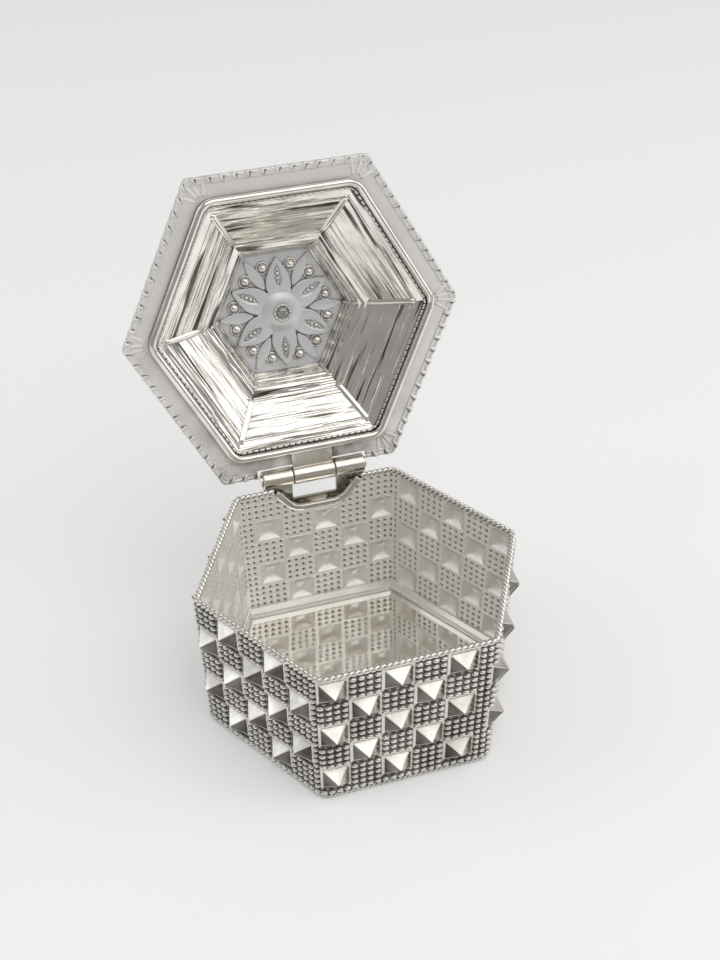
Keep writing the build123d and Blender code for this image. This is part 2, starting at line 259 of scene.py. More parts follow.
def stud_tile(foot_w, foot_h, rise, tip=0.2, pit=0.35, painted_shade=(0, 0, 0, 0)):
    """One four-sided stud in a cell of 12 steps a side, with narrow flats along its ridges."""
    edge = (square_ring(12) - 0.5) * [ACROSS, DOWN]
    steps = np.concatenate([[0, 0.035], np.linspace(0.1, 0.9, 9), [0.965]])
    foot = []
    corners = [(-1, -1), (1, -1), (1, 1), (-1, 1)]
    for k in range(4):
        a, b = np.array(corners[k]), np.array(corners[(k + 1) % 4])
        foot += [a + (b - a) * t for t in steps]
    foot = np.array(foot) * [foot_w / 2, foot_h / 2]
    tips = []
    for k in range(4):
        a, b = np.array(corners[k]), np.array(corners[(k + 1) % 4])
        tips += [(a + (b - a) * 0.25) * tip / 2, (a + (b - a) * 0.75) * tip / 2]
    points = np.concatenate([edge, foot, np.array(tips), np.zeros((1, 2))])
    h = np.concatenate([np.zeros(96), np.full(8, rise * 0.95), [rise]])
    shade = np.concatenate([np.full(48, pit), np.full(48, pit), np.zeros(9)])
    faces = ring_faces(2, 48)
    shades = [0.0] * len(faces)
    for k in range(4):
        side = [48 + (12 * k + i) % 48 for i in range(1, 12)]
        low, high = 96 + 2 * k, 97 + 2 * k
        faces.append(side + [high, low])
        corner = 48 + (12 * (k + 1)) % 48
        faces.append([side[-1], corner, corner + 1, 96 + (2 * k + 2) % 8, high])
        faces += [[low, high, 104], [high, 96 + (2 * k + 2) % 8, 104]]
        # Painted shade on each of the four big faces; the ridge flats and the tip get none
        shades += [painted_shade[k], 0.0, 0.0, 0.0]
    return points, h, shade, faces, shades


def has_stud(side, column, row):
    """Every second cell has a stud, except where the hinge notch would cut it."""
    if (side + column + row) % 2:
        return False
    x = FRONT_SIDE / 2 - FIRST_COLUMN - column * ACROSS - HINGE_X
    top = FIRST_ROW + row * DOWN - STUD_H / 2
    return not (side == 3 and top < NOTCH_DEPTH and abs(x) < (NOTCH_TOP + STUD_W) / 2)


def strip_tiles(bead, studs, make_bead):
    """Tiles for the whole wall: cells with a stud or 4 x 4 beads, a row at the foot, and the corners."""
    tiles = Tiles()
    top = FIRST_ROW - DOWN / 2
    foot = top + (TILE_ROWS - 0.5) * TILE_H
    quarters = [k - 1.5 for k in range(4)]
    for side in range(6):
        for column in range(COLUMNS):
            centre = FIRST_COLUMN + column * ACROSS
            for row in range(ROWS):
                v = FIRST_ROW + row * DOWN
                if has_stud(side, column, row):
                    tiles.place(side, centre, v, studs[side < 3])
                    continue
                for i in quarters:
                    for j in quarters:
                        tiles.place(side, centre + i * TILE_W, v + j * TILE_H, bead)
            for i in quarters:
                tiles.place(side, centre + i * TILE_W, foot, bead)
        corner_tiles(tiles, side, top, make_bead)
    return tiles


def corner_tiles(tiles, side, top, make_bead):
    """Columns of beads from a side's last cell round the corner to the next side's first cell."""
    first = FIRST_COLUMN - ACROSS / 2
    last = first + COLUMNS * ACROSS
    spare = SIDE_LENGTH[side] - last + first
    extra = max(1, round(spare / 1.1))
    bead = make_bead(spare / extra)
    for i in range(extra):
        for j in range(TILE_ROWS):
            tiles.place(side, last + (i + 0.5) * spare / extra, top + (j + 0.5) * TILE_H, bead)


def cut_notch(piece):
    """Opens the hinge notch in the back wall's sheet."""
    low, high = HEIGHT - NOTCH_DEPTH, HEIGHT
    lean = (NOTCH_TOP - NOTCH_BOTTOM) / 2 / NOTCH_DEPTH
    planes = [((HINGE_X, 0, low), (0, 0, 1))]
    for s in (-1, 1):
        planes.append(((HINGE_X + s * NOTCH_BOTTOM / 2, 0, low), (-s, 0, lean)))
    bm = bmesh.new()
    bm.from_mesh(piece.data)
    for at, normal in planes:
        middles = [(f, f.calc_center_median()) for f in bm.faces]
        near = [f for f, c in middles if c.y > 18 * MM and c.z > 17 * MM]
        corners, edges = {v for f in near for v in f.verts}, {e for f in near for e in f.edges}
        geometry = list(corners) + list(edges) + near
        place, facing = Vector(at) * MM, Vector(normal)
        bmesh.ops.bisect_plane(bm, geom=geometry, dist=1e-7, plane_co=place, plane_no=facing)
    gone = []
    for f in bm.faces:
        c = f.calc_center_median() / MM
        if c.y > 18 and all((c - Vector(at)).dot(Vector(n)) > 0 for at, n in planes):
            gone.append(f)
    bmesh.ops.delete(bm, geom=gone, context="FACES")
    bm.to_mesh(piece.data)
    bm.free()


# Wall of the box, outside and inside. Each ring of a bead: share of its radius, height and pit.
OUTER_BEAD = [(1.0, 0.0, 1.0), (0.88, 0.28, 0.3), (0.52, 0.46, 0.0), (0, 0.51, 0.0)]
INNER_DENT = [(1.0, 0.0, 0.0), (0.8, 0.16, 0.8), (0.45, 0.3, 1.0), (0, 0.34, 1.0)]
# Painted shade on a stud's lower, right, upper and left face: on sides 3 to 5 (back, left), then on sides 0
# to 2 (front, right)
STUD_PAINTED_SHADE = [(0.85, 0.8, 0.0, 0.0), (0.85, 0.0, 0.0, 0.78)]


def outer_bead(wide):
    """A bead on the outer face, in a tile of the given width."""
    return bead_tile(wide, TILE_H, wide * 0.5, TILE_H * 0.36, OUTER_BEAD)


def inner_dent(wide):
    """The dent behind a bead, on the inner face."""
    return bead_tile(wide, TILE_H, wide * 0.25, TILE_H * 0.26, INNER_DENT)


sharp = [stud_tile(STUD_W, STUD_H, STUD_RISE, tip=0.16, pit=0.08, painted_shade=painted_shade) for painted_shade in STUD_PAINTED_SHADE]
outer = strip_tiles(outer_bead(TILE_W), sharp, outer_bead)
wall_out = make("wall_outside", (outer.points(0), outer.faces), "box",
                pits=outer.pit, painted_face_shade=outer.shade)
pillow = stud_tile(STUD_W - 0.2, STUD_H - 0.1, 0.8, tip=2.3, pit=0.0)
inner = strip_tiles(inner_dent(TILE_W), [pillow, pillow], inner_dent)
wall_in = make("wall_inside", (inner.points(-SHEET), [f[::-1] for f in inner.faces]), "box",
               pits=inner.pit, painted_face_shade=inner.shade)
for wall in (wall_out, wall_in):
    cut_notch(wall)
    weighted(wall)
    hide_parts("embossed_wall")


def ribbon(path, wide, y_low, y_high):
    """A band that follows a path in the back wall's plane, wide to its outer side."""
    path = np.array(path, float)
    ahead = np.gradient(path, axis=0)
    ahead /= np.linalg.norm(ahead, axis=1)[:, None]
    side = np.stack([ahead[:, 1], -ahead[:, 0]], 1)
    points = []
    for (x, z), (far_x, far_z) in zip(path, path + side * wide):
        points += [(x, y_low, z), (x, y_high, z), (far_x, y_high, far_z), (far_x, y_low, far_z)]
    ends = [[0, 3, 2, 1], [len(points) - 4 + k for k in range(4)]]
    return points, ring_faces(len(path), 4) + ends


def notch_path():
    """The notch's outline from one rim end to the other, with rounded lower corners."""
    half_top, half_bottom = NOTCH_TOP / 2, NOTCH_BOTTOM / 2
    low, high = HEIGHT - NOTCH_DEPTH, RIM_Z + 0.1
    lean = (half_top - half_bottom) / NOTCH_DEPTH
    corner = 1.3
    points = []
    for t in np.linspace(0, 1, 8):
        z = high + (low + corner * 0.8 - high) * t
        points.append((-half_bottom - lean * (z - low), z))
    for t in np.linspace(0.12, 1, 8):
        a, b = np.array(points[7]), np.array((-half_bottom + corner, low))
        c = np.array((-half_bottom, low))
        points.append(tuple((1 - t) ** 2 * a + 2 * t * (1 - t) * c + t * t * b))
    left = points
    right = [(-x, z) for x, z in left[::-1]]
    return [(HINGE_X + x, z) for x, z in left + right]


border = make("notch_border", ribbon(notch_path(), 1.0, 21.42, 22.2), "box")
bevelled(border, 0.18, 3)


def tube(centre_line, radius, closed, sides=9):
    """A round tube along sampled points, shut at its ends where the path is open."""
    if closed:
        tangent = np.roll(centre_line, -1, axis=0) - np.roll(centre_line, 1, axis=0)
    else:
        tangent = np.gradient(centre_line, axis=0)
    tangent /= np.linalg.norm(tangent, axis=1)[:, None]
    a = np.cross(tangent, np.array([0, 0, 1.0]))
    a /= np.linalg.norm(a, axis=1)[:, None]
    b = np.cross(a, tangent)
    points = []
    for i, middle in enumerate(centre_line):
        for k in range(sides):
            t = 2 * math.pi * k / sides
            points.append(middle + radius * (math.cos(t) * a[i] + math.sin(t) * b[i]))
    faces = loop_faces(len(centre_line), sides, closed)
    if not closed:
        last = len(points) - sides
        faces += [list(range(sides)), list(range(last, last + sides))[::-1]]
    return points, faces


def rope(name, centre, radius, strand_radius, pitch, closed=True):
    """Two strands twisted along a sampled level path, given as (points, outward directions)."""
    path, out = centre
    ahead = np.roll(path, -1, axis=0) - path
    if not closed:
        ahead[-1] = ahead[-2]
    run = np.concatenate([[0], np.cumsum(np.linalg.norm(ahead, axis=1))[:-1]])
    total = run[-1] + (np.linalg.norm(ahead[-1]) if closed else 0)
    turns = max(1, round(total / pitch)) if closed else total / pitch
    side = np.column_stack([out, np.zeros(len(path))])
    up = np.array([0, 0, 1.0])
    strands = []
    for start in (0.0, 0.5):
        turn = 2 * math.pi * (run / total * turns + start)
        middle = path + radius * (np.cos(turn)[:, None] * side + np.sin(turn)[:, None] * up)
        strands.append(tube(middle, strand_radius, closed))
    return make(name, joined(strands), "box", weld=False)


def hexagon_path(inset, z, radius, step, skip=None):
    """Sampled level path round the hexagon; skip leaves out x from skip[0] to skip[1] on the back side."""
    sides, us = [], []
    for side in range(6):
        count = max(2, round(SIDE_LENGTH[side] / step))
        for i in range(count):
            sides.append(side)
            us.append(SIDE_LENGTH[side] * i / count)
    flat, out = on_hexagon(np.array(sides), np.array(us), inset, radius)
    points = np.column_stack([flat, np.full(len(flat), z)])
    if skip is None:
        return points, out
    back = (points[:, 1] > 15) & (points[:, 0] > skip[0]) & (points[:, 0] < skip[1])
    first = int(np.where(back)[0][-1]) + 1
    order = [(first + i) % len(points) for i in range(len(points) - int(back.sum()))]
    return points[order], out[order]


half_gap = NOTCH_TOP / 2 + 0.3
hinge_gap = (HINGE_X - half_gap, HINGE_X + half_gap)
rim_path = hexagon_path(WIRE_R - 0.05, RIM_Z + 0.1, CORNER, ROPE_STEP, hinge_gap)
rim = rope("rim_rope", rim_path, 0.2, 0.28, 1.8, closed=False)
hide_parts("top_rim_wire")
base_inset = WIRE_R + BASE_INSET * (1 - BASE_Z / HEIGHT)
foot = rope("base_rope", hexagon_path(base_inset - 0.1, 0.46, CORNER, ROPE_STEP), 0.15, 0.23, 1.6)
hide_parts("base_rim_wire")


def bent(profile, inset, z, corner):
    """A bar with a closed profile of (out, up), bent into the hexagon."""
    sides, us = [], []
    corners = ZERO + inset * GROW
    for side in range(6):
        start = corner * math.tan(TURN[side] / 2)
        stop = corner * math.tan(TURN[(side + 1) % 6] / 2)
        scale = SIDE_LENGTH[side] / np.linalg.norm(corners[(side + 1) % 6] - corners[side])
        whole = SIDE_LENGTH[side] / scale
        local = list(np.linspace(0, start, 5)) + list(np.linspace(start, whole - stop, 20))[1:]
        local += list(np.linspace(whole - stop, whole, 5))[1:-1]
        sides += [side] * len(local)
        us += [x * scale for x in local]
    flat, out = on_hexagon(np.array(sides), np.array(us), inset, corner)
    points = []
    for (x, y), (ox, oy) in zip(flat, out):
        points += [(x + ox * o, y + oy * o, z + up) for o, up in profile]
    return points, loop_faces(len(flat), len(profile))


# Collar: a smooth half-round ridge
collar = [(-COLLAR_WIDTH / 2, 0.0)]
for a in np.linspace(0, math.pi, 13):
    collar.append((-COLLAR_WIDTH / 2 * math.cos(a), -COLLAR_STRAIGHT - COLLAR_ROUND * math.sin(a)))
collar.append((COLLAR_WIDTH / 2, 0.0))
collar_part = bent(collar, COLLAR_INSET + COLLAR_WIDTH / 2, FLANGE_Z, 2.6)
collar_piece = weighted(make("collar", collar_part, "lid"))
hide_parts("lid_collar")

# Fillet between the floor and its band
fillet_profile = [(0.3, 0.02), (0.02, 0.02), (-0.1, -0.4), (-0.42, -0.785), (0.3, -0.785)]
points, faces = bent(fillet_profile, 2.06, 1.25, 1.0)
fillet = make("floor_fillet", (points, [f[::-1] for f in faces]), "box")

# Each ring of a dash: share of its length, share of its radius
DASH = [(-0.5, 0.0), (-0.42, 0.75), (-0.3, 1.0), (0.3, 1.0), (0.42, 0.75), (0.5, 0.0)]


def dashes(inset, z, corner, pitch, length, radius):
    """Short round-ended dashes laid along the hexagon."""
    path, out = hexagon_path(inset, z, corner, pitch)
    parts = []
    for (x, y, middle), (ox, oy) in zip(path, out):
        points = []
        for t, r in DASH:
            for k in range(6):
                a = 2 * math.pi * k / 6
                o, up = radius * r * math.cos(a), radius * r * math.sin(a)
                points.append((x - oy * t * length + ox * o, y + ox * t * length + oy * o, middle + up))
        parts.append((points, ring_faces(len(DASH), 6)))
    return joined(parts)


seam_part = dashes(COLLAR_INSET + COLLAR_WIDTH + 0.27, FLANGE_Z - 0.22, 1.8, 1.15, 0.95, 0.23)
seam = make("collar_seam", seam_part, "lid", weld=False)
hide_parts("lid_seam_wire")

# Stepped dome: its inner profile as (inset, height) from the runs and rises of its steps
STEPS = [(0.0, 0.0), (1.5, 0.5), (5.8, 4.0), (1.25, 0.25), (1.6, 3.2)]
profile, inset, height = [], 3.0, 0.0
for run, rise in STEPS:
    inset, height = inset + run, height + rise
    profile.append((inset, height))

# Drawn lines and swelling of the two wide steps: share of the way up, distance into the lid's hollow
RELIEF = {
    2: [(0.05, 0.0), (0.075, -0.16), (0.11, 0.0), (0.2, 0.1), (0.35, 0.02), (0.5, 0.16), (0.65, 0.04),
        (0.8, 0.1), (0.9, 0.0), (0.93, -0.16), (0.96, 0.0)],
    4: [(0.12, 0.0), (0.2, -0.1), (0.3, 0.02), (0.5, 0.1), (0.72, 0.02), (0.82, -0.1), (0.9, 0.0)],
}


def drawn_profile():
    """The inner profile with its drawn border lines and swelling panels."""
    fine = [profile[0]]
    for k in range(1, len(profile)):
        (i0, h0), (i1, h1) = profile[k - 1], profile[k]
        run, rise = i1 - i0, h1 - h0
        length = math.hypot(run, rise)
        for t, d in RELIEF.get(k, []):
            fine.append((i0 + run * t + d * rise / length, h0 + rise * t - d * run / length))
        fine.append((i1, h1))
    return fine


def dome_points():
    """The dome's inner and outer sheet as rings of corners, joined at the lip and at the crown."""
    fine = drawn_profile()
    rings = [(i, FLANGE_Z + h) for i, h in fine] + [(i, FLANGE_Z + h + LID_SHEET) for i, h in profile[::-1]]
    rings[-1] = (profile[0][0], FLANGE_Z + LID_SHEET)
    rings[len(fine)] = (profile[-1][0] - 0.25, FLANGE_Z + profile[-1][1])
    points = []
    for inset, z in rings:
        corners = outline(inset)
        for k in range(6):
            for c in range(DOME_CUTS):
                x, y = corners[k] + (corners[(k + 1) % 6] - corners[k]) * c / DOME_CUTS
                points.append((x, y, z))
    return points, loop_faces(len(rings), 6 * DOME_CUTS)


def streak_uv(points, faces):
    """Stretched coordinates per face corner for streaks that run along a panel, far finer across it."""
    values = []
    for face in faces:
        corners = np.array([points[i] for i in face])
        x, y, _ = corners.mean(axis=0)
        shares = []
        for k, a in enumerate(NORMAL_ANGLE):
            reach = ZERO[k][0] * math.cos(a) + ZERO[k][1] * math.sin(a)
            shares.append((x * math.cos(a) + y * math.sin(a)) / reach)
        side = int(np.argmax(shares))
        a = NORMAL_ANGLE[side]
        for x, y, z in corners:
            along = y * math.cos(a) - x * math.sin(a)
            across = z - FLANGE_Z - x * math.cos(a) - y * math.sin(a)
            values.append((along * 0.07, across * 0.9, side * 7.3))
    return values


dome_part = dome_points()
dome = make("dome", dome_part, "lid", streaks=streak_uv(*dome_part))
bevelled(dome, 0.1, 2, 12)
ledge = drawn_profile().index(profile[2])
for i, face in enumerate(dome.data.polygons):
    face.material_index = int(i // (6 * DOME_CUTS) == ledge)
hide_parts("lid_dome")


def strip_along(a, b, half, rise, normal, steps=10):
    """A low rounded rib from a to b."""
    a, b, normal = np.array(a, float), np.array(b, float), np.array(normal, float)
    ahead = (b - a) / np.linalg.norm(b - a)
    normal = normal - ahead * normal.dot(ahead)
    normal /= np.linalg.norm(normal)
    across = np.cross(ahead, normal)
    points, faces = [], []
    shape = [(math.cos(t), math.sin(t)) for t in np.linspace(math.pi, 0, 7)]
    for s in range(steps + 1):
        t = s / steps
        swell = 1 - 0.35 * abs(2 * t - 1) ** 3
        for c, h in shape:
            points.append(a + (b - a) * t + across * c * half * swell + normal * (h * rise * swell - 0.05))
    m = len(shape)
    for s in range(steps):
        for k in range(m - 1):
            faces.append([s * m + k, s * m + k + 1, s * m + m + k + 1, s * m + m + k])
    faces += [[k for k in reversed(range(m))], [steps * m + k for k in range(m)]]
    return points, faces


ribs = []
for first, second, half in ((1, 2, 0.72), (3, 4, 0.4)):
    for k in range(6):
        (i0, h0), (i1, h1) = profile[first], profile[second]
        low_end = (*outline(i0)[k], FLANGE_Z + h0)
        high_end = (*outline(i1)[k], FLANGE_Z + h1)
        inward = -ZERO[k] / np.linalg.norm(ZERO[k])
        ribs.append(strip_along(low_end, high_end, half, 0.46, (inward[0], inward[1], -1.2)))
rib_piece = make("dome_mitres", joined(ribs), "lid")


# Crimped edge: a rolled rim with a row of folded teeth
def in_lid_notch(x, y):
    """Whether a point of the lid's edge lies where the hinge needs room."""
    return y > LID_NOTCH_Y - 0.02 and abs(x - HINGE_X) < (HINGE_SPAN + 2 * LID_NOTCH_GAP) / 2


def fold(t, across):
    """Height and painted shade of the folded lip. t counts teeth along it; across is 0 at the outer edge."""
    phase = t % 1
    roll = 0.15 * math.sqrt(max(0.0, 1 - (across / 0.16 - 1) ** 2)) if across < 0.32 else 0.0
    wide = 0.24 * max(0.01, 1 - across / 0.8)
    bump = 0.34 * max(0.0, 1 - abs(phase - TOOTH_AT) / wide) ** 0.7
    from_slit = abs(phase - TOOTH_AT - 0.62 * wide - 0.07)
    # Painted shade in the slit beside each tooth, which also dips a little
    slit = max(0.0, 1 - from_slit / (0.16 * max(0.05, 1 - across / 0.95))) * (across > 0.08)
    return max(roll, bump) - 0.03 - 0.12 * slit, min(1.0, 1.6 * slit)


def edge_rows(side):
    """Rows of points and painted shades from the lid's upper face over the edge and in across the folded lip.
    """
    teeth = round((SIDE_LENGTH[side] + 1.6) / TOOTH_PITCH)
    n = teeth * TOOTH_STEPS + 1
    t = np.arange(n) / TOOTH_STEPS
    us = SIDE_LENGTH[side] * t / teeth
    jitter = [0.12 * math.sin(5.1 * k + side) + 0.08 * math.sin(11.3 * k) for k in np.floor(t)]
    scallop = 0.06 * np.abs(np.sin(np.pi * (t + 0.05)))
    flat, out = on_hexagon(np.full(n, side), us, np.full(n, EDGE_INSET), EDGE_CORNER)
    rows = [np.column_stack([flat + out * (scallop - 0.02)[:, None], np.full(n, FLANGE_Z + LID_SHEET)])]
    shades = [np.zeros(n)]
    for a in (0.0, 0.05, 0.12, 0.2, 0.28, 0.36, 0.5, 0.64, 0.78, 0.96):
        lift, shade = np.array([fold(q + j * 0.4, a) for q, j in zip(t, jitter)]).T
        flat, out = on_hexagon(np.full(n, side), us, np.full(n, EDGE_INSET + a), EDGE_CORNER)
        shift = scallop * (1 - a) if a < 0.5 else 0 * t
        rows.append(np.column_stack([flat + out * shift[:, None], FLANGE_Z - lift]))
        shades.append(shade)
    return n, rows, shades


def edge_strip():
    """The folded lip: a thin rolled outer edge with a row of small folded teeth just inside it."""
    parts, shades = [], []
    for side in range(6):
        n, rows, shade = edge_rows(side)
        points, faces = np.concatenate(rows), []
        for r in range(len(rows) - 1):
            for i in range(r * n, (r + 1) * n - 1):
                quad = [i, i + 1, i + n + 1, i + n]
                x, y, _ = points[quad].mean(axis=0)
                if not in_lid_notch(x, y):
                    faces.append(quad)
        parts.append((points, faces))
        shades += shade
    return joined(parts), np.concatenate(shades)


edge_part, edge_painted_shade = edge_strip()
# The lip's painted shade goes to its material as the pit value
edge = make("crimped_edge", edge_part, "lid", pits=edge_painted_shade)
mod = edge.modifiers.new("thick", "SOLIDIFY")
mod.thickness = 0.12 * MM
mod.offset = -1
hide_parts("lid_crimped_edge")

# Creases that run out to the flange's corners
folds = []
for k in range(6):
    inner_end, outer_end = outline(1.5)[k], outline(-1.0)[k]
    for away in (AHEAD[k], -AHEAD[k - 1]):
        for reach in (0.7, 2.4):
            shift = away / np.linalg.norm(away) * reach
            begin, end = inner_end + shift * 0.35, outer_end + shift
            if not in_lid_notch(*end):
                folds.append(strip_along((*begin, FLANGE_Z), (*end, FLANGE_Z), 0.26, 0.2, (0, 0, -1)))
fold_piece = make("corner_folds", joined(folds), "lid")


def lens_grid(start, tip, width, rise, slit=None, na=44):
    """A pointed flat petal along +X with crisp edges, raised towards -Z. slit: start, end, width, depth."""
    points, faces = [], []
    inner = list(np.linspace(0, 0.9, 13))
    marks = [-1.0, -0.97] + [-x for x in inner[:0:-1]] + inner + [0.97, 1.0]
    m = len(marks)
    for i in range(na + 1):
        t = i / na
        x = start + (tip - start) * t
        half = width / 2 * math.sin(math.pi * t ** 0.85) ** 0.95 if 0 < i < na else 0.0
        for u in marks:
            y = u * half
            h = 0.0 if abs(u) == 1.0 or i in (0, na) else rise * (1 - 0.1 * u * u)
            if slit is not None:
                s0, s1, sw, sd = slit
                q = (x - s0) / (s1 - s0)
                if 0 < q < 1 and abs(y) < sw / 2 * math.sin(math.pi * q) ** 0.8:
                    h -= sd
            points.append((x, y, -h))
    for i in range(na):
        for j in range(m - 1):
            faces.append([i * m + j, i * m + j + 1, i * m + m + j + 1, i * m + m + j])
    return points, faces


# Rosette on the plaque's inner face
PLAQUE = FLANGE_Z + profile[-1][1]


def turned(part, angle):
    """A part turned about the lid's middle by an angle in degrees, and set on the plaque."""
    points, faces = part
    c, s = math.cos(math.radians(angle)), math.sin(math.radians(angle))
    return [(x * c - y * s, x * s + y * c, h + PLAQUE) for x, y, h in points], faces


def dome_faces(rings, sides, top):
    """Quads up a dome that points to -Z, closed with a fan to the point numbered top."""
    faces = []
    for r in range(rings - 1):
        for k in range(sides):
            m = (k + 1) % sides
            faces.append([r * sides + m, r * sides + k, (r + 1) * sides + k, (r + 1) * sides + m])
    last = (rings - 1) * sides
    return faces + [[last + (k + 1) % sides, last + k, top] for k in range(sides)]


def dome_bead(x, radius, height, base, rings, sides):
    """A round bead at x, pointing to -Z."""
    points = []
    for r in range(rings):
        t = math.pi / 2 * r / rings
        for k in range(sides):
            a = 2 * math.pi * k / sides
            reach = radius * math.cos(t)
            points.append((x + reach * math.cos(a), reach * math.sin(a), -height * math.sin(t) + base))
    points.append((x, 0, -height + base))
    return points, dome_faces(rings, sides, rings * sides)


def torus(x, radius, wire, base, sides=24, ring=8):
    """A ring of round wire that lies flat with its middle at x."""
    points = []
    for i in range(sides):
        a = 2 * math.pi * i / sides
        for k in range(ring):
            b = 2 * math.pi * k / ring
            r = radius + wire * math.cos(b)
            points.append((x + r * math.cos(a), r * math.sin(a), base - wire * math.sin(b)))
    return points, flipped(loop_faces(sides, ring))


def hub_dome(radius, rise, hollow, sides=48, rings=14):
    """The raised middle that runs smoothly out into the petals."""
    points = []
    for r in range(rings + 1):
        t = r / rings
        rad = radius * (1 - t) + hollow * t
        h = 0.42 + (rise - 0.42) * (0.5 - 0.5 * math.cos(math.pi * min(1, t * 1.15)))
        for k in range(sides):
            a = 2 * math.pi * k / sides
            points.append((rad * math.cos(a), rad * math.sin(a), -h))
    points.append((0, 0, -rise * 0.5))
    return points, dome_faces(rings + 1, sides, len(points) - 1)


def faceted_stone(radius, girdle, crown, sides=8):
    """A cut stone: a flat table, two rows of facets and a point below."""
    points, faces = [], []
    shapes = ((1, 0, 0), (0.82, crown * 0.6, 0.5), (0.45, crown, 0))
    rings = [(radius * share, girdle + rise, shift) for share, rise, shift in shapes]
    for rad, h, shift in rings:
        for k in range(sides):
            a = 2 * math.pi * (k + shift) / sides
            points.append((rad * math.cos(a), rad * math.sin(a), -h))
    for k in range(sides):
        m = (k + 1) % sides
        a, b = 0, sides
        faces += [[a + m, a + k, b + k], [a + m, b + k, b + m]]
    for k in range(sides):
        m = (k + 1) % sides
        a, b = sides, 2 * sides
        faces += [[a + m, a + k, b + m], [a + k, b + k, b + m]]
    faces.append([2 * sides + k for k in reversed(range(sides))])
    points.append((0, 0, -girdle + 0.3))
    faces += [[k, (k + 1) % sides, len(points) - 1] for k in range(sides)]
    return points, faces


petals, sepals, granules, beads = [], [], [], []
for k in range(6):
    petals.append(turned(lens_grid(1.2, 8.75, 4.1, 0.55, slit=(4.0, 7.7, 1.2, 0.3)), 30 + 60 * k))
    sepals.append(turned(lens_grid(4.4, 10.1, 1.75, 0.34, na=24), 60 * k))
    for x, r in ((4.8, 0.27), (5.4, 0.36), (6.15, 0.38), (6.85, 0.28)):
        beads.append(turned(dome_bead(x, r, r * 0.95, -0.2, 3, 10), 30 + 60 * k))
    for side in (-GRANULE_TURN, GRANULE_TURN):
        granules.append(turned(dome_bead(GRANULE_AT, 0.76, 0.72, -0.1, 4, 16), 60 * k + side))
        granules.append(turned(torus(GRANULE_AT, 0.9, 0.17, -0.12), 60 * k + side))
petals.append(turned(hub_dome(3.9, 0.95, 1.2), 0))
bezel = [turned(torus(0, 1.2, 0.16, -0.98, 32), 0), turned(torus(0, 1.0, 0.1, -0.9, 32, 6), 0)]
bezel += [turned(dome_bead(1.22, 0.25, 0.24, -1.04, 3, 8), 30 * k) for k in range(12)]

flower = weighted(make("flower", joined(petals), "lid"))
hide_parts("rosette_flower")
bead_piece = make("petal_beads", joined(beads), "lid", weld=False)
sepal_piece = make("sepals", joined(sepals), "lid")
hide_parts("rosette_sepals")
granule_piece = make("granules", joined(granules), "lid", weld=False)
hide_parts("rosette_granules")
bezel_piece = make("stone_bezel", joined(bezel), "lid", weld=False)
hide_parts("stone_collet")
stone = make("stone", turned(faceted_stone(0.98, 0.98, 0.42), 0), "lid", smooth=False)
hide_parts("middle_stone")


# Materials
def new_material(name):
    """A material with its node tree and its shader."""
    mat = bpy.data.materials.new(name)
    mat.use_nodes = True
    return mat, mat.node_tree, mat.node_tree.nodes["Principled BSDF"]


def node(tree, kind, **values):
    """A new node. Each value goes to its setting, or else to its input, of that name."""
    n = tree.nodes.new(kind)
    for key, value in values.items():
        if hasattr(n, key) and key not in n.inputs:
            setattr(n, key, value)
        else:
            n.inputs[key.replace("_", " ")].default_value = value
    return n


def maths(tree, operation, *values, clamp=True):
    """A sum or product of sockets and plain numbers."""
    n = node(tree, "ShaderNodeMath", operation=operation, use_clamp=clamp)
    for socket, value in zip(n.inputs, values):
        if isinstance(value, (int, float)):
            socket.default_value = value
        else:
            tree.links.new(value, socket)
    return n.outputs["Value"]


def span(tree, value, low, high, to_low, to_high):
    """Maps the range low to high onto to_low to to_high."""
    n = node(tree, "ShaderNodeMapRange", From_Min=low, From_Max=high, To_Min=to_low, To_Max=to_high)
    tree.links.new(value, n.inputs["Value"])
    return n.outputs["Result"]


def noise(tree, place, **values):
    """Cloudy noise over the given coordinates."""
    n = node(tree, "ShaderNodeTexNoise", **values)
    tree.links.new(place, n.inputs["Vector"])
    return n.outputs["Fac"]


def bumped(tree, height, strength, distance, before=None):
    """A bump, laid over an earlier one where there is one."""
    n = node(tree, "ShaderNodeBump", Strength=strength, Distance=distance)
    tree.links.new(height, n.inputs["Height"])
    if before is not None:
        tree.links.new(before, n.inputs["Normal"])
    return n.outputs["Normal"]


def blend(tree, amount, first, second):
    """Goes from the first colour to the second."""
    n = node(tree, "ShaderNodeMix", data_type="RGBA")
    n.inputs[6].default_value = (*first, 1)
    n.inputs[7].default_value = (*second, 1)
    tree.links.new(amount, n.inputs["Factor"])
    return n.outputs[2]


def stored(tree, name, output):
    """What make() stored on the mesh."""
    return node(tree, "ShaderNodeAttribute", attribute_name=name).outputs[output]


def low_places(tree, tarnish):
    """Tarnish that gathers where surfaces stand close together."""
    occlusion = node(tree, "ShaderNodeAmbientOcclusion", Distance=0.0012, samples=6)
    return span(tree, occlusion.outputs["AO"], 0.75, 0.15, 0.0, tarnish)


def painted_underside_shade(tree, normal, painted_under_shade):
    """Painted shade on what faces down."""
    split = node(tree, "ShaderNodeSeparateXYZ")
    tree.links.new(normal, split.inputs["Vector"])
    return span(tree, split.outputs["Z"], -0.12, -0.6, 0.0, painted_under_shade)


def stain_near(tree, place, stain_at, patches):
    """Blotches of stain that fade away from a point."""
    far = node(tree, "ShaderNodeVectorMath", operation="DISTANCE")
    far.inputs[1].default_value = stain_at
    tree.links.new(place, far.inputs[0])
    near = span(tree, far.outputs["Value"], 0.02, 0.004, 0.0, 0.8)
    return maths(tree, "MULTIPLY", maths(tree, "MULTIPLY", near, patches), 9.0)


